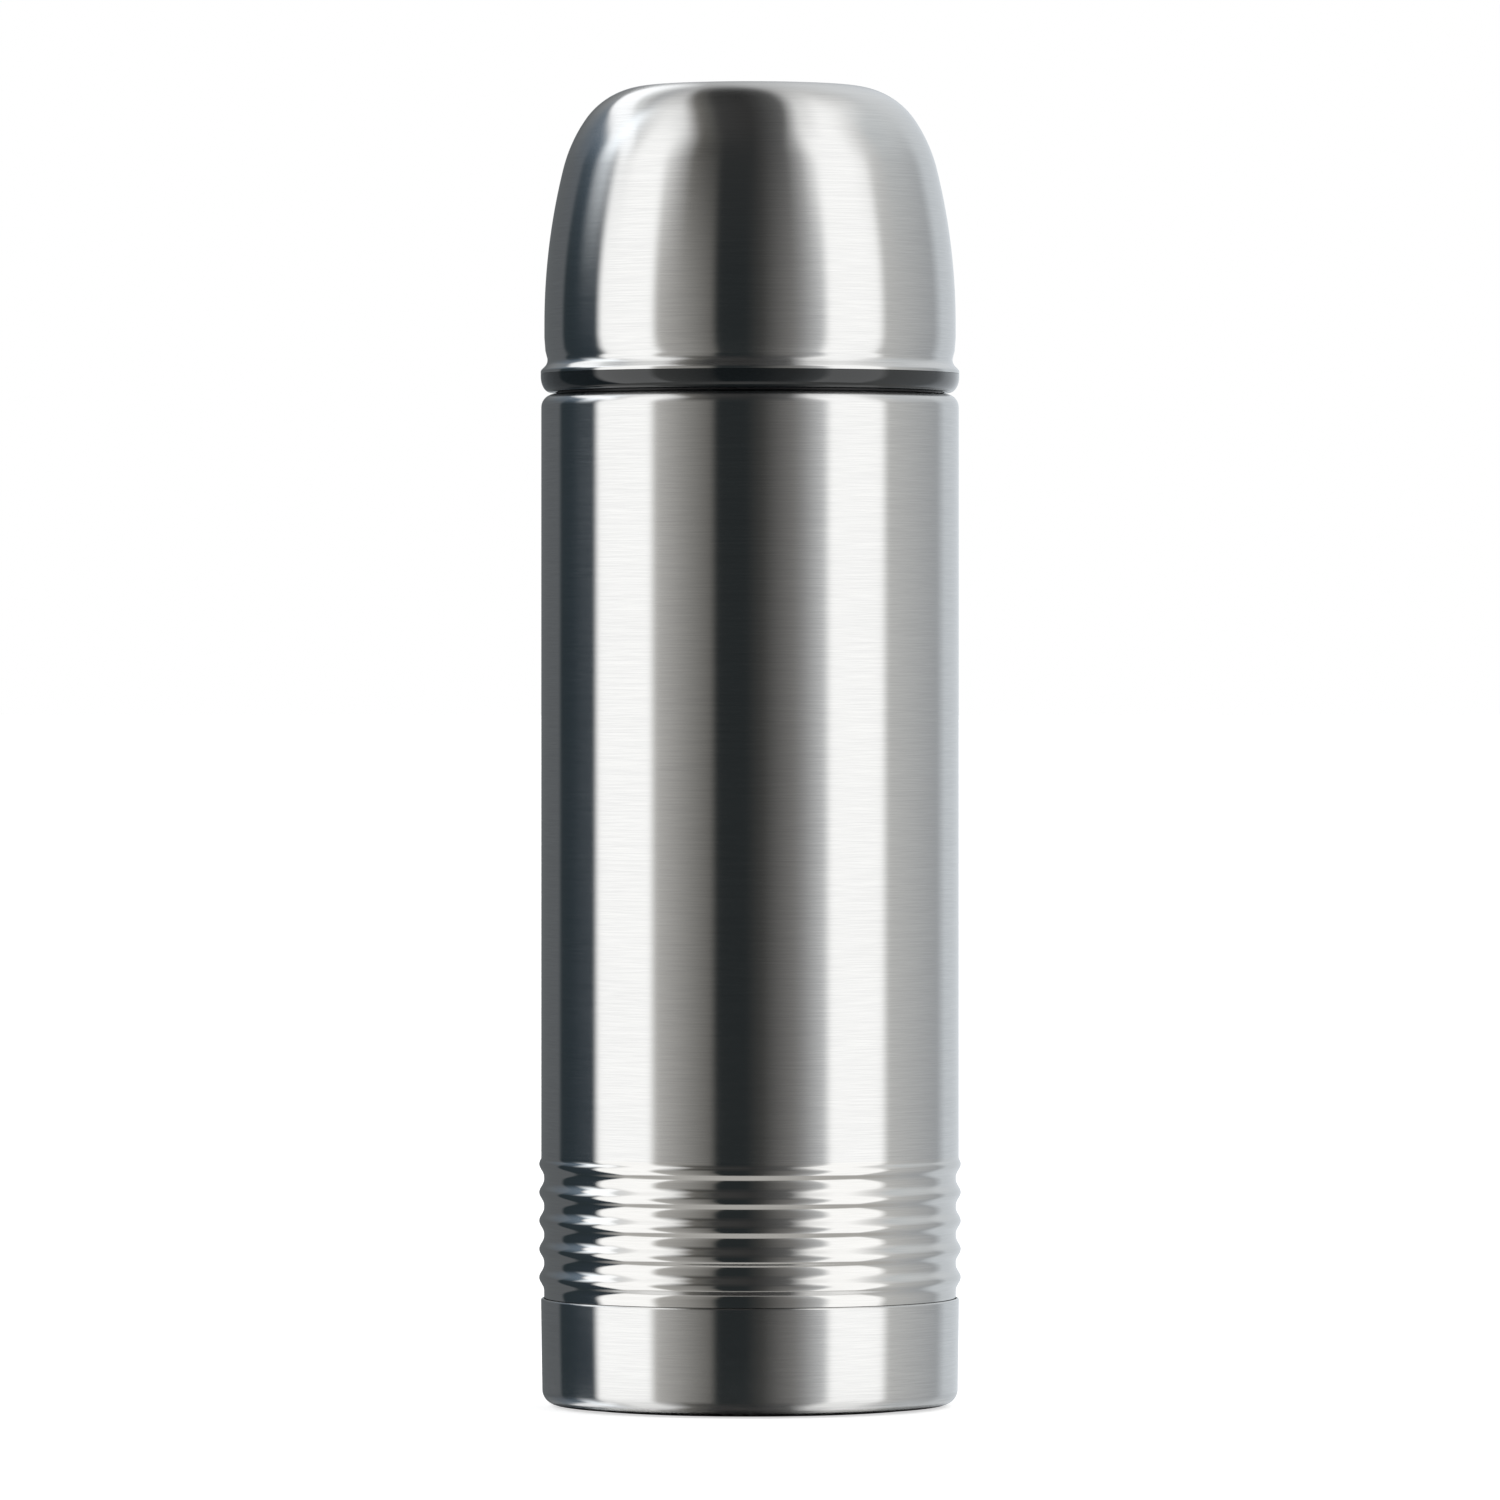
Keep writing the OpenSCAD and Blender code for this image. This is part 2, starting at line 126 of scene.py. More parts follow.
class Nodes:
    """A short way to write a node tree."""

    def __init__(self, tree):
        self.tree = tree
        tree.nodes.clear()

    def add(self, kind, **values):
        node = self.tree.nodes.new(kind)
        for key, value in values.items():
            setattr(node, key, value)
        return node

    def link(self, a, b):
        self.tree.links.new(a, b)

    def math(self, operation, a, b=None, clamp=False):
        node = self.add("ShaderNodeMath", operation=operation, use_clamp=clamp)
        for socket, value in zip(node.inputs, (a, b)):
            self.feed(socket, value)
        return node.outputs[0]

    def feed(self, socket, value):
        if value is None:
            return
        if isinstance(value, bpy.types.NodeSocket):
            self.link(value, socket)
        else:
            socket.default_value = value

    def span(self, value, low, high, out_low=0.0, out_high=1.0, smooth=True):
        """Maps value from low..high to out_low..out_high."""
        node = self.add("ShaderNodeMapRange", interpolation_type="SMOOTHSTEP" if smooth else "LINEAR")
        for socket, item in zip(node.inputs, (value, low, high, out_low, out_high)):
            self.feed(socket, item)
        return node.outputs[0]

    def mix(self, factor, a, b):
        """Colour a where the factor is 0, b where it is 1."""
        node = self.add("ShaderNodeMix", data_type="RGBA")
        for socket, item in ((node.inputs[0], factor), (node.inputs[6], a), (node.inputs[7], b)):
            self.feed(socket, item)
        return node.outputs[2]

    def lighter(self, a, b):
        """The lighter of two colours."""
        node = self.add("ShaderNodeMix", data_type="RGBA", blend_type="LIGHTEN")
        for socket, item in ((node.inputs[0], 1.0), (node.inputs[6], a), (node.inputs[7], b)):
            self.feed(socket, item)
        return node.outputs[2]

    def noise(self, vector, scale, detail=2.0, roughness=0.5):
        node = self.add("ShaderNodeTexNoise")
        self.link(vector, node.inputs["Vector"])
        node.inputs["Scale"].default_value = scale
        node.inputs["Detail"].default_value = detail
        node.inputs["Roughness"].default_value = roughness
        return node.outputs["Fac"]

    def combine(self, x, y, z):
        node = self.add("ShaderNodeCombineXYZ")
        for socket, item in zip(node.inputs, (x, y, z)):
            self.feed(socket, item)
        return node.outputs[0]

    def bump(self, height, distance, strength=1.0, normal=None):
        node = self.add("ShaderNodeBump")
        node.inputs["Strength"].default_value = strength
        node.inputs["Distance"].default_value = distance
        self.link(height, node.inputs["Height"])
        if normal is not None:
            self.link(normal, node.inputs["Normal"])
        return node.outputs[0]

    def ramp(self, value, stops):
        """A colour along stops of (place, colour), where places run from 0 to 1."""
        node = self.add("ShaderNodeValToRGB")
        while len(node.color_ramp.elements) > 1:
            node.color_ramp.elements.remove(node.color_ramp.elements[0])
        first = True
        for at, colour in stops:
            stop = node.color_ramp.elements[0] if first else node.color_ramp.elements.new(at)
            stop.position, stop.color = at, (*colour, 1)
            first = False
        self.link(value, node.inputs[0])
        return node.outputs[0]


def new_material(name):
    """A material with its nodes, its shader and the piece's own coordinates in metres."""
    material = bpy.data.materials.new(name)
    material.use_nodes = True
    nodes = Nodes(material.node_tree)
    shader = nodes.add("ShaderNodeBsdfPrincipled")
    out = nodes.add("ShaderNodeOutputMaterial")
    nodes.link(shader.outputs[0], out.inputs[0])
    place_in = nodes.add("ShaderNodeTexCoord").outputs["Object"]
    return material, nodes, shader, place_in


def brush_parts(nodes, place_in):
    """x, y, and a coordinate that runs up the turned surface, whether it is upright or flat."""
    parts = nodes.add("ShaderNodeSeparateXYZ")
    nodes.link(place_in, parts.inputs[0])
    x, y, z = parts.outputs
    square = nodes.math("ADD", nodes.math("MULTIPLY", x, x), nodes.math("MULTIPLY", y, y))
    radius = nodes.math("SQRT", square)
    return x, y, nodes.math("SUBTRACT", z, radius)


def stretched(nodes, x, y, up, along, across):
    """Coordinates for streaks that run round the axis: along and across are features per metre."""
    return nodes.combine(
        nodes.math("MULTIPLY", x, along),
        nodes.math("MULTIPLY", y, along),
        nodes.math("MULTIPLY", up, across),
    )


def turned_steel(name, dark, light, rough, rough_spread, anisotropic, line_depth, grain_depth):
    """Steel with fine tool or brush lines that run round the axis."""
    material, nodes, shader, place_in = new_material(name)
    x, y, up = brush_parts(nodes, place_in)
    fine = nodes.noise(stretched(nodes, x, y, up, along=110, across=7500), 1.0, 3.0, 0.6)
    broad = nodes.noise(stretched(nodes, x, y, up, along=30, across=1600), 1.0, 2.0)
    grain = nodes.noise(stretched(nodes, x, y, up, along=650, across=2600), 1.0, 2.0, 0.6)
    haze = nodes.noise(place_in, 35.0, 3.0)
    lines = nodes.math("ADD", nodes.math("MULTIPLY", fine, 0.82), nodes.math("MULTIPLY", broad, 0.18))
    shade = nodes.span(lines, 0.3, 0.7)
    nodes.link(nodes.mix(shade, (*dark, 1), (*light, 1)), shader.inputs["Base Color"])
    worn = nodes.math("MULTIPLY", nodes.math("ADD", fine, haze), 0.5)
    roughness = nodes.span(worn, 0.3, 0.7, rough - rough_spread, rough + rough_spread)
    nodes.link(roughness, shader.inputs["Roughness"])
    shader.inputs["Metallic"].default_value = 1.0
    shader.inputs["Anisotropic"].default_value = anisotropic
    shader.inputs["Anisotropic Rotation"].default_value = 0.25
    tangent = nodes.add("ShaderNodeTangent", direction_type="RADIAL", axis="Z")
    nodes.link(tangent.outputs[0], shader.inputs["Tangent"])
    normal = nodes.bump(lines, line_depth)
    nodes.link(nodes.bump(grain, grain_depth, normal=normal), shader.inputs["Normal"])
    return material


def moulded(name, colour, rough, bump_depth, scale, coat=0.0, specular=0.5):
    """Moulded plastic or rubber: a fine surface texture with faint cloudiness."""
    material, nodes, shader, place_in = new_material(name)
    cloud = nodes.noise(place_in, 60.0, 3.0)
    spark = nodes.noise(place_in, scale, 2.0, 0.6)
    dark = tuple(c * 0.82 for c in colour)
    light = tuple(c * 1.18 + 0.002 for c in colour)
    nodes.link(nodes.mix(cloud, (*dark, 1), (*light, 1)), shader.inputs["Base Color"])
    nodes.link(nodes.span(cloud, 0.3, 0.7, rough * 0.85, rough * 1.15), shader.inputs["Roughness"])
    nodes.link(nodes.bump(spark, bump_depth), shader.inputs["Normal"])
    shader.inputs["Specular IOR Level"].default_value = specular
    shader.inputs["Coat Weight"].default_value = coat
    shader.inputs["Coat Roughness"].default_value = 0.05
    return material


def plain_metal(name, colour, rough, scale=300.0, depth=4e-6):
    """Unbrushed metal with a faint mottled surface."""
    material, nodes, shader, place_in = new_material(name)
    mottle = nodes.noise(place_in, scale, 3.0)
    dark = tuple(c * 0.86 for c in colour)
    nodes.link(nodes.mix(mottle, (*dark, 1), (*colour, 1)), shader.inputs["Base Color"])
    nodes.link(nodes.span(mottle, 0.3, 0.7, rough * 0.8, rough * 1.2), shader.inputs["Roughness"])
    shader.inputs["Metallic"].default_value = 1.0
    nodes.link(nodes.bump(mottle, depth), shader.inputs["Normal"])
    return material


# ---------------------------------------------------------------- materials

BRUSHED = turned_steel(
    "brushed_steel", dark=(0.60, 0.60, 0.595), light=(0.68, 0.68, 0.67), rough=0.17, rough_spread=0.02,
    anisotropic=0.95, line_depth=1.8e-6, grain_depth=1.1e-6,
)
POLISHED = turned_steel(
    "polished_rings", dark=(0.63, 0.625, 0.61), light=(0.68, 0.675, 0.66), rough=0.09, rough_spread=0.02,
    anisotropic=0.2, line_depth=0.8e-6, grain_depth=0.2e-6,
)
BOTTLE_STEEL = turned_steel(
    "bottle_steel", dark=(0.60, 0.60, 0.59), light=(0.66, 0.66, 0.65), rough=0.3, rough_spread=0.05,
    anisotropic=0.3, line_depth=3e-6, grain_depth=1e-6,
)
GLOSS_BLACK = moulded(
    "gloss_black", (0.006, 0.008, 0.009), 0.09, bump_depth=4e-7, scale=900.0, coat=0.7, specular=0.3
)
BLACK_PLASTIC = moulded("black_plastic", (0.022, 0.023, 0.025), 0.38, 6e-6, 2600.0)
DARK_GREY = moulded("dark_grey_plastic", (0.085, 0.09, 0.095), 0.42, 9e-6, 2600.0)
GREY = moulded("grey_plastic", (0.27, 0.28, 0.29), 0.4, 8e-6, 2600.0)
SILICONE = moulded("silicone", (0.70, 0.71, 0.70), 0.55, 3e-6, 1500.0)
BLACK_RUBBER = moulded("black_rubber", (0.018, 0.018, 0.018), 0.7, 2.0e-5, 1800.0)
BRIGHT_STEEL = plain_metal("bright_steel", (0.70, 0.70, 0.69), 0.18)
COPPER_FOIL = plain_metal("copper_foil", (0.80, 0.47, 0.32), 0.25, scale=120.0, depth=2e-5)
GETTER_METAL = plain_metal("getter_metal", (0.33, 0.33, 0.35), 0.5)
BRAZE = plain_metal("braze", (0.22, 0.19, 0.16), 0.6, scale=900.0, depth=3e-5)

BY_SLOT = {
    "brushed_steel": BRUSHED, "bottle_steel": BOTTLE_STEEL, "gloss_black": GLOSS_BLACK,
    "black_plastic": BLACK_PLASTIC, "dark_grey_plastic": DARK_GREY, "grey_plastic": GREY,
    "silicone": SILICONE, "black_rubber": BLACK_RUBBER, "bright_steel": BRIGHT_STEEL,
    "copper_foil": COPPER_FOIL, "getter_metal": GETTER_METAL, "braze": BRAZE,
}
for part in frame["record"]["subparts"]:
    node = frame["nodes"][part["node"]]
    node.data.materials.clear()
    node.data.materials.append(BY_SLOT[part["material_slot"]])


# ---------------------------------------------------------------- steel body

def mm(node):
    """A CAD node's lowest and highest corner in millimetres."""
    low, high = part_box(node)
    return [c / MM for c in low], [c / MM for c in high]


body_low, body_high = mm("outer_shell")
cap_low, cap_high = mm("base_cap")
SEAM_Z = cap_high[2]
CAP_LOW_Z = cap_low[2]
NECK_TOP_Z = body_high[2]
RING_CREST_R = body_high[0]
BODY_R = RING_CREST_R - 0.4
RING_VALLEY_R = RING_CREST_R - 0.95
RING_PITCH, RING_START, RING_COUNT = 5.5, 4.0, 5
RING_SHARPNESS = 1.35                # 1 is a plain wave; more makes the crests narrower
TOP_CREST_Z = SEAM_Z + RING_START + RING_PITCH * (RING_COUNT - 1)
RINGS_END_Z = TOP_CREST_Z + 0.27 * RING_PITCH
SHOULDER_Z = NECK_TOP_Z - 15.2
SHOULDER_ROUND = 2.6
NECK_R, NECK_FILLET = 25.1, 2.4
JOGGLE_R = BODY_R - 0.7              # where the tube steps in under the base cap
SHELL_LOW_Z = body_low[2]


def ring_r(z):
    """Radius of the ringed part of the tube at a height."""
    wave = (1 + math.cos(2 * math.pi * (z - SEAM_Z - RING_START) / RING_PITCH)) / 2
    return RING_VALLEY_R + (RING_CREST_R - RING_VALLEY_R) * wave ** RING_SHARPNESS


def shell_line(inset):
    """The tube's outline from the foot to the top of the neck, moved inwards by inset."""
    low = SEAM_Z + RING_START - RING_PITCH / 2
    line = [
        (JOGGLE_R - inset, SHELL_LOW_Z),
        (JOGGLE_R - inset, SEAM_Z - 0.2),
        (RING_VALLEY_R - inset, SEAM_Z + 0.3),
    ]
    steps = 24 * RING_COUNT
    for i in range(steps + 1):
        z = low + (RINGS_END_Z - low) * i / steps
        if z <= TOP_CREST_Z or ring_r(z) > BODY_R:
            line.append((ring_r(z) - inset, z))
    line.append((BODY_R - inset, RINGS_END_Z + 0.2))
    line += arc(BODY_R - SHOULDER_ROUND, SHOULDER_Z - SHOULDER_ROUND, SHOULDER_ROUND - inset, 0, 90, 14)
    line += arc(NECK_R + NECK_FILLET, SHOULDER_Z + NECK_FILLET, NECK_FILLET + inset, 270, 180, 8)
    line.append((NECK_R - inset, NECK_TOP_Z))
    return line


shell = lathe("body_shell", shell_line(0) + shell_line(SHEET)[::-1])
place(shell, "flask", "outer_shell", "brushed_steel", BRUSHED, POLISHED)
POLISHED_TOP_Z = RINGS_END_Z + 0.1
for face in shell.data.polygons:
    face.material_index = 1 if face.center.z < POLISHED_TOP_Z * MM else 0

# Base cap: it widens a little from its rounded foot to its top edge, and is recessed for the pad
CAP_R = cap_high[0]
CAP_TAPER = 0.25
CAP_ROUND, CAP_EDGE_ROUND = 2.9, 0.4
PAD_R = mm("base_pad")[1][0]
PAD_H = mm("base_pad")[1][2]
round_r, round_z = CAP_R - CAP_TAPER - CAP_ROUND, CAP_LOW_Z + CAP_ROUND
foot = lathe("foot_cap", [
    (0, PAD_H), (PAD_R + 0.25, PAD_H), (PAD_R + 0.55, CAP_LOW_Z),
    *arc(round_r, round_z, CAP_ROUND, -90, 0, 14),
    *arc(CAP_R - CAP_EDGE_ROUND, SEAM_Z - CAP_EDGE_ROUND, CAP_EDGE_ROUND, 0, 90, 6),
    (CAP_R - SHEET, SEAM_Z),
    *arc(round_r, round_z, CAP_ROUND - SHEET, 0, -90, 10),
    (PAD_R + 1, CAP_LOW_Z + SHEET), (PAD_R + 0.7, PAD_H + SHEET), (0, PAD_H + SHEET),
])
place(foot, "flask", "base_cap", "brushed_steel", BRUSHED)


# ---------------------------------------------------------------- cup

cup_low, cup_high = mm("cup_shell")
RIM_R = cup_high[0]
CUP_R = RIM_R - 0.7
CUP_TOP_Z = cup_high[2]
RIM_Z = cup_low[2]
SIDE_R, SHOULDER_R, CROWN_R = 124.8, 29.4, 15.1     # radii of the dome's three arcs
SIDE_END, SHOULDER_END = 13.9, 34.2                 # where they meet, degrees of slope
DOME_LOW_Z = RIM_Z + 6.95


def step(length, angle):
    """Radius and height of a step at an angle in degrees."""
    return length * math.cos(math.radians(angle)), length * math.sin(math.radians(angle))


def dome_line(inset):
    """The dome: three arcs that meet smoothly, and a flat top."""
    side_r, side_z = step(SIDE_R - SHOULDER_R, SIDE_END)
    shoulder_r, shoulder_z = step(SHOULDER_R - CROWN_R, SHOULDER_END)
    crown = (CUP_R - SIDE_R + side_r + shoulder_r, CUP_TOP_Z - CROWN_R)
    shoulder = (crown[0] - shoulder_r, crown[1] - shoulder_z)
    side = (shoulder[0] - side_r, shoulder[1] - side_z)
    return [
        (CUP_R - inset, DOME_LOW_Z),
        *arc(*side, SIDE_R - inset, 0, SIDE_END, 24),
        *arc(*shoulder, SHOULDER_R - inset, SIDE_END, SHOULDER_END, 16)[1:],
        *arc(*crown, CROWN_R - inset, SHOULDER_END, 90, 28)[1:],
        (0, CUP_TOP_Z - inset),
    ]


def rim_line(inset):
    """The flared rim and the waist above it."""
    edge, flare = 0.6, 1.8
    edge_z, waist_z = RIM_Z + 0.35, RIM_Z + 2.65
    waist_r = CUP_R - 0.6
    return [
        (RIM_R - inset, RIM_Z),
        *arc(RIM_R - edge, edge_z, edge - inset, 0, 45, 6),
        *arc(waist_r + flare, waist_z, flare + inset, 225, 160, 14),
        (CUP_R - 0.2 - inset, RIM_Z + 4.4),
    ]


outside = rim_line(0) + dome_line(0)
inside = rim_line(SHEET) + dome_line(SHEET)
cup = lathe("cup_dome", outside + inside[::-1])
place(cup, "cup", "cup_shell", "brushed_steel", BRUSHED)

# Lip ring: a rounded outer edge, an upright lip that clips into the shell, and a shelf for the gasket
LIP_LOW_Z = mm("cup_lip_ring")[0][2]
LIP_TOP_Z = RIM_Z - 0.05
LIP_BULGE_Z = LIP_TOP_Z - 0.5
LIP_ROUND = 1.9
CLIP_R, CLIP_IN_R, CLIP_H, CLIP_BEVEL = 38.7, 38.0, 3.0, 0.3
SHELF_R = 36.1
shelf_z = mm("cup_gasket")[1][2] + 0.05
inner_r = mm("neck_collar")[1][0] + 0.4
lip = lathe("lip_ring", [
    (inner_r, LIP_LOW_Z),
    *arc(RIM_R - LIP_ROUND, LIP_BULGE_Z, LIP_ROUND, -90, 0, 20, rz=LIP_BULGE_Z - LIP_LOW_Z),
    (RIM_R, LIP_TOP_Z), (CLIP_R, LIP_TOP_Z), (CLIP_R, LIP_TOP_Z + CLIP_H - CLIP_BEVEL),
    (CLIP_R - 0.2, LIP_TOP_Z + CLIP_H), (CLIP_IN_R, LIP_TOP_Z + CLIP_H), (CLIP_IN_R, LIP_TOP_Z),
    (SHELF_R, LIP_TOP_Z), (SHELF_R, shelf_z), (inner_r, shelf_z),
])
place(lip, "cup", "cup_lip_ring", "gloss_black", GLOSS_BLACK)


# ---------------------------------------------------------------- return spring

WIRE_R, MEAN_R = 0.45, 6.4           # of the wire, and of the coil to the middle of the wire
COILS, PER_TURN, SIDES = 6.5, 40, 14
CLOSED = 2 * WIRE_R + 0.1            # pitch of the first and the last turn, which lie closed
spring_low, spring_high = mm("button_spring")
low_z, high_z = spring_low[2] + WIRE_R, spring_high[2] - WIRE_R


def coil_height(turns):
    """Height of the wire's middle after a number of turns."""
    if turns < 1:
        return low_z + CLOSED * turns
    if turns > COILS - 1:
        return high_z - CLOSED * (COILS - turns)
    return low_z + CLOSED + (high_z - low_z - 2 * CLOSED) * (turns - 1) / (COILS - 2)


steps = int(COILS * PER_TURN)
verts, faces = [], []
for i in range(steps + 1):
    a, z = 2 * math.pi * i / PER_TURN, coil_height(i / PER_TURN)
    for j in range(SIDES):
        b = 2 * math.pi * j / SIDES
        r = MEAN_R + WIRE_R * math.cos(b)
        verts.append((r * math.cos(a) * MM, r * math.sin(a) * MM, (z + WIRE_R * math.sin(b)) * MM))
for i in range(steps):
    for j in range(SIDES):
        k = (j + 1) % SIDES
        faces.append((SIDES * i + j, SIDES * (i + 1) + j, SIDES * (i + 1) + k, SIDES * i + k))
faces += [tuple(range(SIDES)), tuple(SIDES * steps + j for j in reversed(range(SIDES)))]
mesh = bpy.data.meshes.new("return_spring")
mesh.from_pydata(verts, [], faces)
spring = bpy.data.objects.new("return_spring", mesh)
scene.collection.objects.link(spring)
smooth(spring, 40)
place(spring, "stopper", "button_spring", "bright_steel", BRIGHT_STEEL)
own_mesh(spring)


# ---------------------------------------------------------------- studio

def grey(level):
    return (level,) * 3


# The room round the flask, as upright walls, flags and softboxes. Each has the compass angles where it
# starts and ends and the light it gives there: 0 is towards the camera and + is to the camera's right.
# The gaps between them are their soft edges.
WHITE, BLACK = grey(1.45), (0.026, 0.031, 0.033)
DARK = (0.038, 0.040, 0.041)
LEVEL = [
    (-174, -132, (0.13, 0.14, 0.145), (0.14, 0.15, 0.16)),         # wall behind, left
    (-128, -97, (0.030, 0.042, 0.049), (0.038, 0.052, 0.066)),     # left flag
    (-92, -58, WHITE, WHITE),                                     # left softbox
    (-53, -22, (0.58, 0.57, 0.55), (0.19, 0.185, 0.175)),         # wall between softbox and camera
    (-18, -2, BLACK, BLACK),                                      # flag round the camera
    (7, 24, (0.066, 0.066, 0.064), (0.24, 0.235, 0.23)),          # wall between camera and softbox
    (29, 41, grey(0.33), (0.68, 0.69, 0.70)),                     # edge of the right softbox
    (46, 77, WHITE, WHITE),                                       # right softbox
    (83, 126, (0.68, 0.68, 0.67), (0.46, 0.48, 0.50)),            # pale wall, right
    (137, 174, (0.72, 0.76, 0.80), (0.72, 0.76, 0.80)),           # wall behind, right
]
# The same room higher up
OVERHEAD = [
    (-172, -152, grey(0.60), (0.30, 0.34, 0.38)),                 # wall behind, left
    (-142, -118, (0.20, 0.25, 0.31), (0.22, 0.29, 0.37)),         # left flag
    (-111, -104, (1.80, 1.90, 2.00), (1.80, 1.90, 2.00)),         # window beside the left softbox
    (-99, -88, (0.95, 0.97, 1.00), grey(1.0)),                    # outer edge of the left softbox
    (-80, -60, WHITE, WHITE),                                     # left softbox
    (-50, -47, grey(0.85), grey(0.62)),                           # its inner edge
    (-38, -30, (0.13, 0.125, 0.115), (0.09, 0.088, 0.083)),       # wall between softbox and camera
    (-18, 2, DARK, DARK),                                         # flag over the camera
    (8, 24, grey(0.06), grey(0.14)),                              # wall between camera and softbox
    (34, 37, grey(0.5), grey(0.8)),                               # inner edge of the right softbox
    (44, 70, WHITE, WHITE),                                       # right softbox
    (84, 90, grey(1.0), grey(0.85)),                              # its outer edge
    (100, 168, (0.74, 0.77, 0.79), (0.88, 0.90, 0.92)),           # pale wall, right and behind
]
# The tops of the softboxes lean in over the flask. Their angles are about a point above and behind it.
LEAN_CENTRE_X, LEAN_CENTRE_Y = -0.1, 1.07                         # as slopes from the vertical
TOP = [
    (-130, -80, grey(0.75), grey(0.75)),                          # wall behind, left
    (-60, -33, grey(1.2), grey(1.25)),                            # left softbox
    (-28, -21, grey(1.25), grey(1.12)),                           # its inner edge
    (-15, -11, (0.19, 0.18, 0.165), (0.15, 0.148, 0.14)),         # ceiling between the softboxes
    (-7, 4, grey(0.06), grey(0.046)),                             # flag over the camera
    (8, 15.5, grey(0.07), grey(0.15)),                            # ceiling between the softboxes
    (21, 25, grey(1.02), grey(1.15)),                             # inner edge of the right softbox
    (30, 44, grey(1.4), grey(1.4)),                               # right softbox
    (52, 130, grey(1.5), grey(1.5)),                              # wall behind, right
]
# Heights where one round passes into the next, as the sine of the angle above level
LEVEL_TO_OVERHEAD = (0.1, 0.62)
OVERHEAD_TO_TOP = (0.62, 0.86)
TOP_FADE = 0.6                       # how much of the tops' light is gone at the back

# A long window high behind on the left, and the pale wall above it. Each edge is soft: the first number
# is where it starts to show and the second where it shows fully.
WINDOW_ANGLE = math.radians(-130)
WINDOW_LIGHT, WALL_OVER_WINDOW = (1.5, 1.52, 1.55, 1), (0.95, 0.97, 0.98, 1)
WALL_TOP, WINDOW_TOP, WINDOW_SILL = (0.72, 0.98), (0.98, 1.12), (1.8, 1.6)     # way out over way up
WINDOW_RIGHT, WINDOW_NEAR = (0.0, -0.12), (-0.2, 0.05)                         # x and y of a direction

# The table under the room, which reaches further behind the flask than in front of it
TABLE = (0.56, 0.55, 0.53, 1)
TABLE_EDGE, TABLE_TILT = (-0.657, -0.74), 0.177
NO_LIGHT = (0, 0, 0, 1)

world = bpy.data.worlds.new("studio")
scene.world = world
world.use_nodes = True
wn = Nodes(world.node_tree)
direction = wn.add("ShaderNodeTexCoord").outputs["Generated"]
split = wn.add("ShaderNodeSeparateXYZ")
wn.link(direction, split.inputs[0])
dx, dy, dz = split.outputs


def weighted(a, weight_a, b, weight_b):
    """The sum of two values, each times its weight."""
    return wn.math("ADD", wn.math("MULTIPLY", a, weight_a), wn.math("MULTIPLY", b, weight_b))


def compass(x, y):
    """The compass angle of a direction, as 0 to 1 from behind to behind."""
    angle = wn.math("ARCTAN2", x, wn.math("MULTIPLY", y, -1.0))
    return wn.math("ADD", wn.math("DIVIDE", angle, 2 * math.pi), 0.5)


def walls(pieces, turn):
    """The light of a round of pieces, which meet behind the flask half way between the two ends."""
    behind = [(a + b) / 2 for a, b in zip(pieces[0][2], pieces[-1][3])]
    stops = [(0, behind)]
    for start, end, first, last in pieces:
        stops += [((start + 180) / 360, first), ((end + 180) / 360, last)]
    return wn.ramp(turn, stops + [(1, behind)])


def with_window(room):
    """The room's light with the window. Reach is a ray's way out towards it over its way up."""
    out = weighted(dx, math.sin(WINDOW_ANGLE), dy, -math.cos(WINDOW_ANGLE))
    reach = wn.math("DIVIDE", out, wn.math("MAXIMUM", dz, 0.05))
    glow = wn.mix(wn.span(reach, *WINDOW_TOP), WALL_OVER_WINDOW, WINDOW_LIGHT)
    height = wn.math("MULTIPLY", wn.span(reach, *WALL_TOP), wn.span(reach, *WINDOW_SILL))
    ends = wn.math("MULTIPLY", wn.span(dx, *WINDOW_RIGHT), wn.span(dy, *WINDOW_NEAR))
    shown = wn.math("MULTIPLY", height, ends)
    return wn.lighter(room, wn.mix(shown, NO_LIGHT, glow))


def softbox_tops():
    """The leaning tops, which fade towards the back."""
    around = compass(weighted(dx, 1.0, dz, -LEAN_CENTRE_X), weighted(dy, 1.0, dz, -LEAN_CENTRE_Y))
    fade = wn.span(dy, 0.0, 0.7, 0.0, TOP_FADE, smooth=False)
    return wn.mix(fade, walls(TOP, around), NO_LIGHT)


turn = compass(dx, dy)
light = wn.mix(wn.span(dz, *LEVEL_TO_OVERHEAD), walls(LEVEL, turn), walls(OVERHEAD, turn))
light = with_window(light)
light = wn.mix(wn.span(dz, *OVERHEAD_TO_TOP), light, softbox_tops())
light = wn.mix(wn.span(weighted(dz, 1.0, dy, -TABLE_TILT), *TABLE_EDGE), light, TABLE)
# The camera itself sees plain white
camera_ray = wn.add("ShaderNodeLightPath").outputs["Is Camera Ray"]
seen = wn.mix(camera_ray, light, (1, 1, 1, 1))
background = wn.add("ShaderNodeBackground")
wn.link(seen, background.inputs[0])
world_out = wn.add("ShaderNodeOutputWorld")
wn.link(background.outputs[0], world_out.inputs[0])


def flat_piece(name, points, faces, material):
    """A flat mesh of the studio."""
    mesh = bpy.data.meshes.new(name)
    mesh.from_pydata(points, [], faces)
    mesh.materials.append(material)
    piece = bpy.data.objects.new(name, mesh)
    scene.collection.objects.link(piece)
    return piece


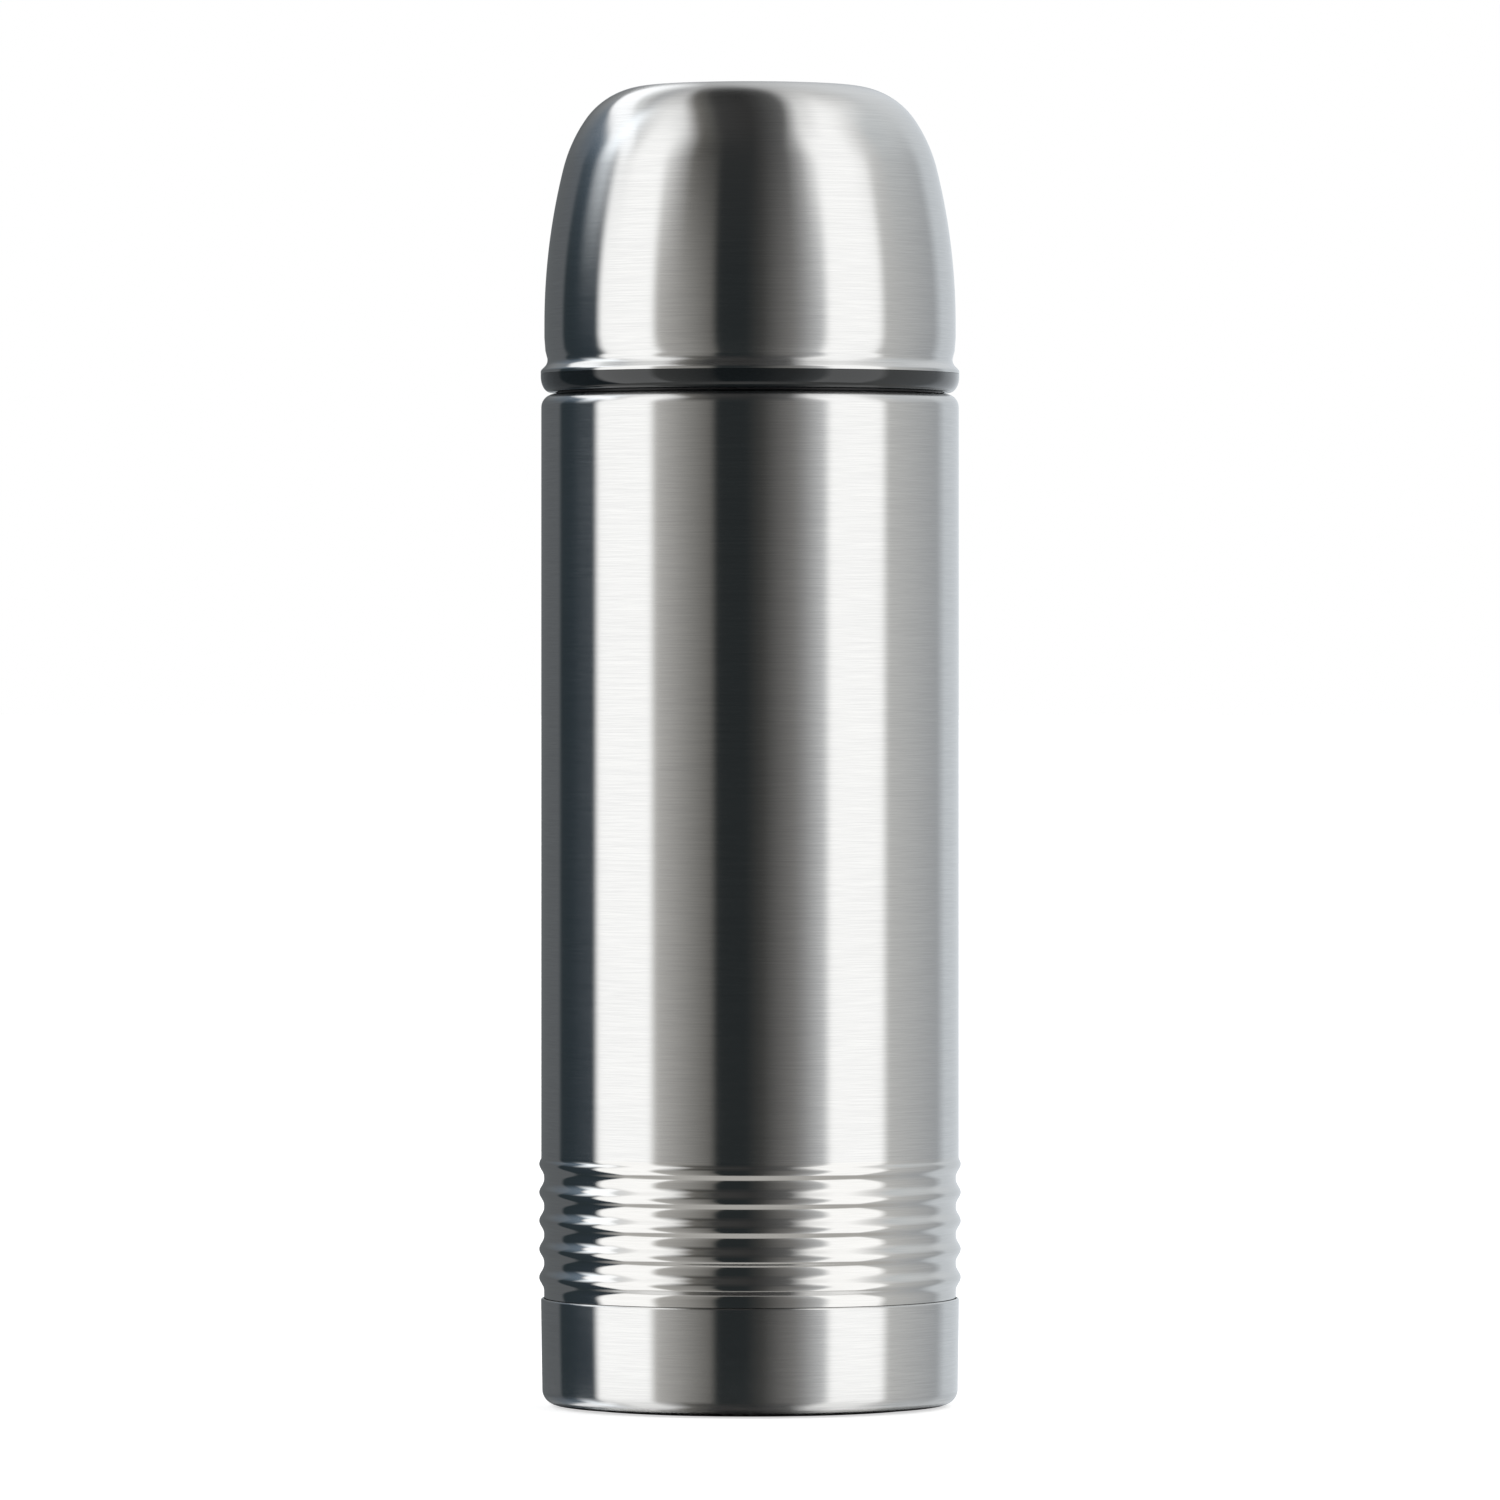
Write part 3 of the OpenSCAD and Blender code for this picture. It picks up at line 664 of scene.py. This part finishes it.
# Pale floor, which glows a little so that it stays nearly white. The steel sees the room instead.
FLOOR_HALF, FLOOR_DROP = 60.0, 0.00002
FLOOR_GLOW = 0.62
floor_mat, nodes, shader, place_in = new_material("pale_floor")
paper = nodes.noise(place_in, 40.0, 3.0)
nodes.link(nodes.mix(paper, (0.86, 0.86, 0.86, 1), (0.89, 0.89, 0.89, 1)), shader.inputs["Base Color"])
shader.inputs["Roughness"].default_value = 0.9
shader.inputs["Specular IOR Level"].default_value = 0.0
shader.inputs["Emission Color"].default_value = (1, 1, 1, 1)
shader.inputs["Emission Strength"].default_value = FLOOR_GLOW
corners = [(x * FLOOR_HALF, y * FLOOR_HALF, 0) for x, y in ((-1, -1), (1, -1), (1, 1), (-1, 1))]
floor = flat_piece("floor", corners, [(0, 1, 2, 3)], floor_mat)
floor.location.z = -FLOOR_DROP
floor.visible_glossy = False

# A mirror ring on the floor round the foot, seen only in the steel: it stands for a glossy table
CARD_IN_R, CARD_OUT_R, CARD_SIDES = 0.030, 0.056, 96
mirror, nodes, shader, place_in = new_material("mirror_card")
mottle = nodes.noise(place_in, 30.0)
nodes.link(nodes.mix(mottle, (0.8, 0.8, 0.8, 1), (0.85, 0.85, 0.85, 1)), shader.inputs["Base Color"])
shader.inputs["Metallic"].default_value = 1.0
shader.inputs["Roughness"].default_value = 0.08
turns = [2 * math.pi * i / CARD_SIDES for i in range(CARD_SIDES)]
points = [(r * math.cos(a), r * math.sin(a), 0) for r in (CARD_IN_R, CARD_OUT_R) for a in turns]
faces = []
for i in range(CARD_SIDES):
    j = (i + 1) % CARD_SIDES
    faces.append((i, j, j + CARD_SIDES, i + CARD_SIDES))
card = flat_piece("mirror_card", points, faces, mirror)
card.visible_camera = card.visible_diffuse = card.visible_shadow = False


# ---------------------------------------------------------------- camera

# Level, a little above the middle of the flask; the shift centres the flask in the frame
EYE_Z, EYE_DISTANCE = 0.1389, 2.25
LENS, SENSOR = 278.3, 36.0
camera_data = bpy.data.cameras.new("camera")
camera_data.sensor_width = SENSOR
camera_data.lens = LENS
camera_data.shift_y = -0.04
camera_data.clip_end = 500.0
camera = bpy.data.objects.new("camera", camera_data)
scene.collection.objects.link(camera)
camera.location = (0, -EYE_DISTANCE, EYE_Z)
camera.rotation_euler = (math.radians(90), 0, 0)
scene.camera = camera
scene.view_settings.view_transform = "Standard"
scene.view_settings.look = "None"
